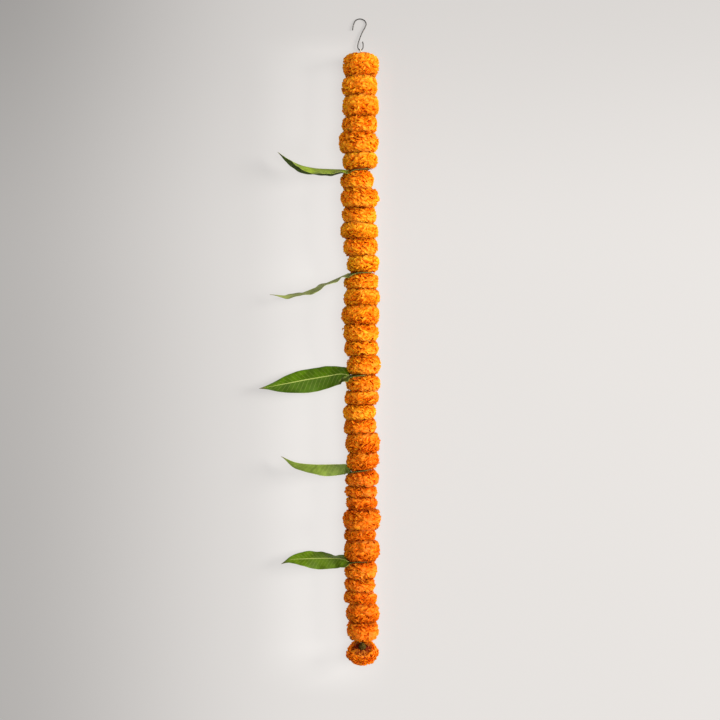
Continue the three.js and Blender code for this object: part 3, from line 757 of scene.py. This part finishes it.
def blade(leaf, joint_y):
    """Middle points, normals and shares (u across, w along) of a leaf's blade, as grids."""
    t = np.linspace(0, 1, LEAF_ROWS)
    route = [(x, joint_y + leaf["slope"] * x + y, THREAD_HEIGHT + z) for x, y, z in leaf["spine"]]
    middle = curve_points(route, t)
    ahead = unit(np.gradient(middle, axis=0))
    length = run_along(middle)
    share = length / length[-1]
    upright = unit(np.array([0.0, 0.0, 1.0]) - ahead * ahead[:, 2:])
    flat = unit(np.cross(upright, ahead))
    half = np.maximum(NARROWEST * (1 - 0.9 * t**30), leaf["half_width"] * blade_width(share))
    free = np.clip((t - FREE_FROM) / FREE_SPREAD, 0, 1)

    u = np.linspace(-1, 1, LEAF_COLUMNS)[None, :]
    upper = staged(leaf["roll_upper"], t)[:, None]
    lower = staged(leaf["roll_lower"], t)[:, None]
    roll = lower + (upper - lower) * (np.sign(u) + 1) / 2
    width_way = upright[:, None] * np.cos(roll)[..., None] + flat[:, None] * np.sin(roll)[..., None]
    normal = unit(np.cross(width_way, ahead[:, None]))
    lift = np.abs(u) * (half * leaf["fold"] * free)[:, None]
    phase = 2 * math.pi * WAVES * t[:, None] + np.where(u > 0, WAVE_OFFSET, 0)
    settle = np.minimum(1, half / WAVE_SETTLES)
    wave = leaf["wave"] * (free * settle)[:, None] * u**2 * np.sin(phase)
    ripple = 0.35 * (free * settle)[:, None] * np.abs(u) ** 3 * np.sin(2.7 * phase + 1.0)
    centre = middle[:, None] + width_way * (u * half[:, None])[..., None]
    centre = centre + normal * (lift + wave + ripple)[..., None]

    widened = 1 + np.interp(-middle[:, :1], FLAP_STRETCH, leaf["flap"]) * (u > 0)
    standing = middle[:, None] + upright[:, None] * (u * half[:, None] * widened)[..., None]
    bent, crease = bent_over(standing, u, joint_y, leaf["slope"])
    side = smoothstep(0, 0.6, u)
    under = leaf.get("under_ends", UNDER_ENDS)
    first = under[0] + (FLAP_ENDS[0] - under[0]) * side
    last = under[1] + (FLAP_ENDS[1] - under[1]) * side
    held = 1 - smoothstep(0, 1, (middle[:, :1] - first) / (last - first))
    centre = centre + (bent - centre) * held[..., None]
    across = unit(np.gradient(centre, axis=1))
    along = unit(np.gradient(centre, axis=0))
    normal = unit(np.cross(across, along))
    u, w = np.broadcast_arrays(u, share[:, None])
    return centre, normal, u, w, crease * held, held


def bent_over(points, u, joint_y, slope):
    """The blade where it leaves the gap: its halves bend over the blooms on its two sides."""
    x, z = points[..., 0], points[..., 2] - THREAD_HEIGHT
    radius = np.hypot(x, z)
    past = np.maximum(radius - FLAP_FROM, 0)
    # The bloom's own outline, from the rim of its pressed face to its widest place.
    level = np.linspace(1, 0, 60)
    out = USUAL_RADIUS * (1 - END_NARROWING * level**NARROWING_POWER) + FLAP_OFFSET
    down = USUAL_HALF * (1 - level)
    run = run_along(np.stack([out, down], axis=1))
    new_radius = np.interp(past, run, out) - out[0] + FLAP_FROM
    new_radius = new_radius + np.maximum(past - run[-1], 0)
    new_down = np.interp(past, run, down)
    share = np.where(radius > FLAP_FROM, new_radius / np.maximum(radius, 1e-6), 1)
    y = joint_y + slope * x * share - np.sign(u) * new_down
    bent = np.stack([x * share, y, z * share + THREAD_HEIGHT], axis=-1)
    # Where the painted shade of the crease goes, just outside the gap.
    crease = np.exp(-(((past - 0.8) / 1.5) ** 2)) * (u > 0)
    return bent, crease


def toward(colour, other, share):
    return colour + (other - colour) * share[..., None]


def leaf_colours(base, w, crease, fold, on_bloom):
    """One side of a blade: painted shade where it lies on the bloom and in the crease, pale on a fold,
    a brown tip.
    """
    colour = toward(base, FLAP_PAINTED_SHADE, FLAP_SHADE_SHARE * on_bloom)
    colour = toward(colour, CREASE_PAINTED_SHADE, 0.85 * crease)
    colour = toward(colour, VEIN_COLOUR, 0.7 * fold)
    return toward(colour, DRY_TIP, smoothstep(DRY_FROM, 1, w)).reshape(-1, 3)


def fold_line(leaf, spine_x, u):
    """Where the pale fold across the upper half is, and which part of the blade lies beyond it."""
    if "fold_line" not in leaf:
        return np.zeros(u.shape), np.zeros(u.shape)
    start, slope, reach = leaf["fold_line"]
    past = spine_x - (start + slope * u)
    line = np.exp(-((past / 1.3) ** 2)) * smoothstep(0, 0.08, u) * smoothstep(reach + 0.1, reach, u)
    return line, smoothstep(-1, 3, past) * (u > 0)


def leaf_piece(index, material):
    leaf = LEAVES[index]
    centre, normal, u, w, crease, held = blade(leaf, leaf_joint(index))
    veins = vein_wave(u, w) * VEIN_DEPTH * smoothstep(0.02, 0.2, np.abs(u)) * (1 - np.abs(u))
    rib = np.exp(-((u / MIDRIB_SHARE) ** 2)) * (1 - 0.7 * w)
    half_thick = BLADE_THICKNESS / 2
    top = centre + normal * (half_thick - veins + 0.35 * MIDRIB_HEIGHT * rib)[..., None]
    under = centre - normal * (half_thick + veins + MIDRIB_HEIGHT * rib)[..., None]
    count = LEAF_ROWS * LEAF_COLUMNS
    quads = grid_faces(LEAF_ROWS, LEAF_COLUMNS)
    grid = np.arange(count).reshape(LEAF_ROWS, LEAF_COLUMNS)
    edge = np.concatenate([grid[0, :-1], grid[:-1, -1], grid[-1, :0:-1], grid[:0:-1, 0]])
    after = np.roll(edge, -1)
    rim = np.stack([edge, edge + count, after + count, after], axis=1)
    faces = np.concatenate([quads, quads[:, ::-1] + count, rim])
    points = np.concatenate([top.reshape(-1, 3), under.reshape(-1, 3)])
    piece = new_mesh(f"mango_leaf_{index + 1}", points, faces, material)
    shares = np.stack([(u + 1) / 2, w], axis=-1).reshape(-1, 2)
    map_points(piece, "leaf_uv", np.concatenate([shares, shares]))
    # The upper half, rolled over, turns the sheet under its normal upwards.
    fold, beyond = fold_line(leaf, centre[:, LEAF_COLUMNS // 2, :1], u)
    # Painted shade on the blade where it lies on the bloom and past its fold line.
    on_bloom = np.maximum(np.where(u > 0, held, 0), beyond)
    # Painted light: the lower half of a blade may be painted lighter, as the light falls on it.
    half_painted_light = np.where(u > 0, 1, leaf.get("lower_painted_lighter", 1))[..., None]
    paint(piece, "leaf_colour_with_painted_light", np.concatenate([
        leaf_colours(half_painted_light * leaf[side], w, crease, fold, on_bloom) for side in ("back", "face")
    ]))
    dress(piece, "leaf", f"leaf_{index + 1}")


# ---- Hook, thread and calyx ----

def hook_piece(material):
    reach = max(y for _, y in HOOK_ROUTE)
    sinking = (HOOK_WIRE_RADIUS - EYE_LIFT) / reach
    route = [(HOOK_ASIDE + x, HOOK_EYE + y, EYE_LIFT + sinking * y) for x, y in HOOK_ROUTE]
    share = np.linspace(0, 1, 260)
    path = curve_points(route, share)
    round_end = 0.004  # share of the wire over which its cut ends round off
    ends = np.minimum(share, 1 - share) / round_end
    radii = HOOK_WIRE_RADIUS * (0.55 + 0.45 * np.minimum(ends, 1) ** 0.5)
    points, faces = tube(path, radii, 16)
    dress(new_mesh("hook_wire", points, faces, material), "wire", "s_hook")


PLIES = 3
PLY_RADIUS = 0.3
PLY_TURN = 3.2  # mm of thread for one turn of its plies
PLY_STEP = 0.22  # mm of thread between two rings of points
KNOT_STRAND = 0.45  # radius of the thread that a knot is tied of


def twisted(path):
    """The plies of a thread along a path."""
    length = run_along(path)
    fine = np.arange(0, length[-1], PLY_STEP)
    path = np.stack([np.interp(fine, length, path[:, k]) for k in range(3)], axis=1)
    _, side, up = transported(path)
    parts = []
    for ply in range(PLIES):
        angle = 2 * math.pi * (fine / PLY_TURN + ply / PLIES)
        offset = side * np.cos(angle)[:, None] + up * np.sin(angle)[:, None]
        wobble = PLY_RADIUS * (1 + 0.06 * np.sin(fine * 5.3 + ply))
        parts.append(tube(path + offset * (THREAD_RADIUS - PLY_RADIUS), wobble, 8))
    return joined(parts)


def knot(centre, size):
    """A small overhand knot of the thread."""
    t = np.linspace(0, 2 * math.pi, 90)
    path = np.stack([np.sin(t) + 2 * np.sin(2 * t), -np.sin(3 * t) * 1.3,
                     np.cos(t) - 2 * np.cos(2 * t)], axis=1)
    path = path / 3 * (size - KNOT_STRAND) + np.array(centre)
    return tube(path, np.full(len(path), KNOT_STRAND), 10)


def thread_piece(material):
    top = STRAND_TOP
    eye = HOOK_EYE
    knot_y = eye - KNOT_FROM_EYE
    raised = math.sin(END_TIP) * (THREAD_HEIGHT - END_HEIGHT)
    below = (END_HALF + END_KNOT_RADIUS + 0.3 + raised) / math.cos(END_TIP)
    end_knot_y = STRAND_END - END_BELOW - below
    drop = [
        (0, top - 6, THREAD_HEIGHT), (0, top - 1, THREAD_HEIGHT), (0, top + 2, THREAD_HEIGHT - 1.5),
        (0, knot_y - 0.5, THREAD_HEIGHT - 7), (HOOK_ASIDE * 0.8, knot_y, 12),
        (HOOK_ASIDE, knot_y, KNOT_HEIGHT),
    ]
    loop = [
        (knot_y, KNOT_HEIGHT), (eye - 1, EYE_LIFT + CLEAR + 0.6), (eye + 0.9, EYE_LIFT + CLEAR - 0.2),
        (eye + CLEAR + 0.1, EYE_LIFT), (eye + 0.9, EYE_LIFT - CLEAR + 0.1),
        (eye - 1, EYE_LIFT - CLEAR + 0.1), (knot_y + 0.4, EYE_LIFT + 0.4), (knot_y, KNOT_HEIGHT),
    ]
    loop = [(HOOK_ASIDE, y, z) for y, z in loop]
    share = np.linspace(0, 1, 120)
    straight = np.array([(0, y, THREAD_HEIGHT) for y in np.linspace(end_knot_y, top - 5, 40)])
    points, faces = joined([
        twisted(curve_points(drop, share)),
        twisted(curve_points(loop, share)),
        tube(straight, np.full(40, THREAD_RADIUS), 10),
        knot((HOOK_ASIDE, knot_y, KNOT_HEIGHT), KNOT_RADIUS),
        knot((0, end_knot_y, THREAD_HEIGHT), END_KNOT_RADIUS),
    ])
    dress(new_mesh("cotton_thread", points, faces, material), "thread", "thread")


def calyx_piece(material):
    """The ribbed cup under the last bloom, with the stub of its stalk."""
    radius, neck, length = CALYX_RADIUS, CALYX_NECK, CALYX_LENGTH
    profile = [
        (radius * 0.8, 0, 0), (radius, length * 0.35, 0), (radius * 0.95, length * 0.62, 0),
        (neck, length * 0.78, 0), (neck * 0.78, length * 0.9, 0), (neck * 0.75, length, 0),
    ]
    rows, sides = 40, 72
    outline = curve_points(profile, np.linspace(0, 1, rows))
    angle = angles(sides)
    ribs = np.cos(2 * CALYX_RIBS * angle)
    depth = 0.07 * np.clip(1.3 - outline[:, 1] / length, 0, 1)
    out = outline[:, :1] * (1 + depth[:, None] * ribs)
    base = END_HALF - CALYX_SUNK + 0.3
    points = turned_round(outline[:, 1:2] + base, out, angle)
    piece = new_mesh("calyx", at_end(points), capped_faces(rows, sides), material)
    dress(piece, "calyx", "end_calyx")


# ---- Materials ----

def node_material(name):
    material = bpy.data.materials.new(name)
    material.use_nodes = True
    tree = material.node_tree
    return material, tree, tree.nodes["Principled BSDF"]


def feed(tree, node, inputs):
    """Links or sets a node's inputs. Each value is a socket, a number or a colour."""
    for key, value in inputs.items():
        if isinstance(value, bpy.types.NodeSocket):
            tree.links.new(value, node.inputs[key])
        else:
            node.inputs[key].default_value = value


def add_node(tree, kind, output, inputs, **settings):
    """An output of a new node."""
    node = tree.nodes.new("ShaderNode" + kind)
    for key, value in settings.items():
        setattr(node, key, value)
    feed(tree, node, inputs)
    return node.outputs[output]


def math_node(tree, operation, first, second=0.5):
    return add_node(tree, "Math", 0, {0: first, 1: second}, operation=operation)


def product(tree, first, second):
    return math_node(tree, "MULTIPLY", first, second)


def ranged(tree, value, low, high, to_low=0.0, to_high=1.0, kind="SMOOTHSTEP"):
    limits = {"From Min": low, "From Max": high, "To Min": to_low, "To Max": to_high}
    return add_node(tree, "MapRange", "Result", {"Value": value, **limits}, interpolation_type=kind)


def mixed(tree, share, first, second):
    """A colour mixed from two. The first is a colour or a socket."""
    first = (*first, 1) if isinstance(first, tuple) else first
    return add_node(tree, "Mix", 2, {0: share, 6: first, 7: (*second, 1)}, data_type="RGBA")


def noise(tree, place, scale, detail=3, roughness=0.6):
    inputs = {"Vector": place, "Scale": scale, "Detail": detail, "Roughness": roughness}
    return add_node(tree, "TexNoise", "Fac", inputs)


def bump(tree, height, strength, distance):
    inputs = {"Height": height, "Strength": strength, "Distance": distance}
    return add_node(tree, "Bump", "Normal", inputs)


def painted(tree, layer, share):
    """The painted colour, scaled by a share."""
    colour = add_node(tree, "VertexColor", "Color", {}, layer_name=layer)
    return add_node(tree, "VectorMath", "Vector", {0: colour, "Scale": share}, operation="SCALE")


def axes(tree, vector):
    node = tree.nodes.new("ShaderNodeSeparateXYZ")
    feed(tree, node, {0: vector})
    return node.outputs["X"], node.outputs["Y"]


def let_light_through(tree, shader, colour, weight):
    """Gives the surface its colour, and mixes in a translucent shader of that colour."""
    feed(tree, shader, {"Base Color": colour})
    through = add_node(tree, "BsdfTranslucent", "BSDF", {"Color": colour})
    inputs = {0: weight, 1: shader.outputs["BSDF"], 2: through}
    surface = add_node(tree, "MixShader", "Shader", inputs)
    feed(tree, tree.nodes["Material Output"], {"Surface": surface})


def make_petal_material():
    """The painted colour, with fine streaks along each petal."""
    material, tree, shader = node_material("petal")
    place = add_node(tree, "UVMap", "UV", {}, uv_map="petal_uv")
    stretched = add_node(tree, "Mapping", "Vector", {"Vector": place, "Scale": (9, 1.2, 1)})
    streak = noise(tree, stretched, 2.5)
    tone = ranged(tree, streak, 0.3, 0.7, 0.93, 1.06, "LINEAR")
    normal = bump(tree, streak, 0.25, 0.0004)
    feed(tree, shader, {"Roughness": 0.62, "Specular IOR Level": 0.3, "Normal": normal})
    let_light_through(tree, shader, painted(tree, "petal_colour_with_painted_light", tone), PETAL_THROUGH)
    return material


def make_leaf_material():
    """A waxy blade with a pale midrib, lateral veins, mottling and a thin pale margin."""
    material, tree, shader = node_material("leaf")
    across, w = axes(tree, add_node(tree, "UVMap", "UV", {}, uv_map="leaf_uv"))
    side = math_node(tree, "SUBTRACT", across, 0.5)
    u = product(tree, math_node(tree, "ABSOLUTE", side), 2.0)
    slant = product(tree, math_node(tree, "POWER", u, VEIN_SLANT_POWER), -VEIN_SLANT)
    phase = product(tree, math_node(tree, "ADD", w, slant), VEIN_PAIRS)
    upper = product(tree, math_node(tree, "GREATER_THAN", side, 0.0), 0.5)
    turn = product(tree, math_node(tree, "ADD", phase, upper), 2 * math.pi)
    wave = math_node(tree, "COSINE", turn)
    lateral = product(tree, ranged(tree, wave, 0.88, 1.0), ranged(tree, u, 1.0, 0.6))
    rib = ranged(tree, u, 0.05, 0.015)
    veins = math_node(tree, "MAXIMUM", product(tree, lateral, 0.22), rib)
    margin = product(tree, ranged(tree, u, 0.95, 1.0), 0.5)
    veins = math_node(tree, "MAXIMUM", veins, margin)

    place = add_node(tree, "TexCoord", "Object", {})
    mottle = ranged(tree, noise(tree, place, 70), 0.35, 0.65, 0.7, 1.08)
    cells = add_node(tree, "TexVoronoi", "Distance", {"Vector": place, "Scale": 900})
    normal = bump(tree, cells, 0.25, 0.0002)
    feed(tree, shader, {"Roughness": 0.48, "Specular IOR Level": 0.12, "Normal": normal})
    colour = mixed(tree, veins, painted(tree, "leaf_colour_with_painted_light", mottle), VEIN_COLOUR)
    let_light_through(tree, shader, colour, LEAF_THROUGH)
    return material


def make_plain_material(name, dark, light, scale, roughness, metallic=0.0, specular=0.5):
    """Two close tones in a fine noise, with a little bump."""
    material, tree, shader = node_material(name)
    grain = noise(tree, add_node(tree, "TexCoord", "Object", {}), scale, 4)
    feed(tree, shader, {
        "Base Color": mixed(tree, ranged(tree, grain, 0.35, 0.65), dark, light),
        "Normal": bump(tree, grain, 0.3, 0.0001),
        "Roughness": roughness,
        "Metallic": metallic,
        "Specular IOR Level": specular,
    })
    return material


# ---- Stage ----

FLOOR_TONES = (0.115, 0.112, 0.11), (0.125, 0.122, 0.12)
# The floor's glow by place, in metres: painted light, as the floor is no lamp, strongest beside the
# garland to lift its shadow.
FLOOR_GLOW = (0.24, 0.54)  # far from the garland at its left, and at its right
GLOW_RISES = (-0.6, -0.04)
FLOOR_GLOW_BESIDE = 0.16  # more at the garland's left, where its shadow falls
BESIDE_RISES, BESIDE_FALLS = (-0.18, -0.05), (0.06, -0.04)
BESIDE_STARTS, BESIDE_ENDS = (-0.56, -0.47), (0.46, 0.38)
FLOOR_GLOW_TOP_FALLS = 0.12  # towards and past the hook
TOP_FALLS = (0.1, 0.6)
FLOOR_HALF = 4000
FLOOR_BELOW = 0.0002


def stage_floor():
    material, tree, shader = node_material("floor")
    place = add_node(tree, "TexCoord", "Object", {})
    x, y = axes(tree, place)
    rising = ranged(tree, x, *GLOW_RISES, *FLOOR_GLOW)
    across = product(
        tree, ranged(tree, x, *BESIDE_RISES, 0, FLOOR_GLOW_BESIDE), ranged(tree, x, *BESIDE_FALLS)
    )
    along = product(tree, ranged(tree, y, *BESIDE_STARTS), ranged(tree, y, *BESIDE_ENDS))
    level = math_node(tree, "ADD", rising, product(tree, across, along))
    top_falls = ranged(tree, y, *TOP_FALLS, 0, FLOOR_GLOW_TOP_FALLS)
    # Painted light: the floor's emission, more where the garland's shadow falls and less towards the
    # hook.
    feed(tree, shader, {
        "Base Color": mixed(tree, noise(tree, place, 2.2, 2, 0.5), *FLOOR_TONES),
        "Roughness": 0.9,
        "Emission Color": (1, 0.965, 0.935, 1),
        "Emission Strength": math_node(tree, "SUBTRACT", level, top_falls),
    })
    half = FLOOR_HALF
    corners = [(-half, -half, 0), (half, -half, 0), (half, half, 0), (-half, half, 0)]
    floor = new_mesh("floor", corners, [(0, 1, 2, 3)], material)
    floor.location.z = -FLOOR_BELOW


def area_light(name, place, size, power, colour):
    """A square light that faces the frame's origin."""
    lamp = bpy.data.lights.new(name, "AREA")
    lamp.shape = "SQUARE"
    lamp.size = size
    lamp.energy = power
    lamp.color = colour
    light = bpy.data.objects.new(name, lamp)
    light.location = place
    light.rotation_mode = "QUATERNION"
    light.rotation_quaternion = (-Vector(place)).to_track_quat("-Z", "Y")
    bpy.context.scene.collection.objects.link(light)


def stage_lights():
    area_light("key", (6.1, 0.9, 2.9), 2.6, 950, (1, 0.97, 0.93))
    area_light("overhead", (1.0, 0.2, 4.0), 3.0, 150, (1, 0.98, 0.96))
    world = bpy.data.worlds.new("studio")
    bpy.context.scene.world = world
    world.use_nodes = True
    background = world.node_tree.nodes["Background"]
    feed(world.node_tree, background, {"Color": (0.9, 0.92, 0.95, 1), "Strength": 0.3})


VIEW_ACROSS = 1.08  # metres across the picture at the thread's height
VIEW_CENTRE = (-0.0015, -0.0413)
LENS = 85
SENSOR = 36


def stage_camera():
    camera = bpy.data.cameras.new("camera")
    camera.lens = LENS
    camera.sensor_width = SENSOR
    seen = bpy.data.objects.new("camera", camera)
    distance = VIEW_ACROSS * LENS / SENSOR
    seen.location = (*VIEW_CENTRE, THREAD_HEIGHT * MM + distance)
    bpy.context.scene.collection.objects.link(seen)
    bpy.context.scene.camera = seen
    bpy.context.scene.view_settings.view_transform = "Standard"


stage_camera()
stage_lights()
stage_floor()
petal_material = make_petal_material()
for number in range(1, STRUNG_BLOOMS + 1):
    strung_bloom(number)
end_bloom()
leaf_material = make_leaf_material()
for index in range(len(LEAVES)):
    leaf_piece(index, leaf_material)
hook_piece(make_plain_material("wire", *WIRE_TONES, 900, 0.5, metallic=1.0))
thread_piece(make_plain_material("thread", *THREAD_TONES, 2500, 0.85))
calyx_piece(make_plain_material("calyx", *CALYX_TONES, 400, 0.8, specular=0.05))
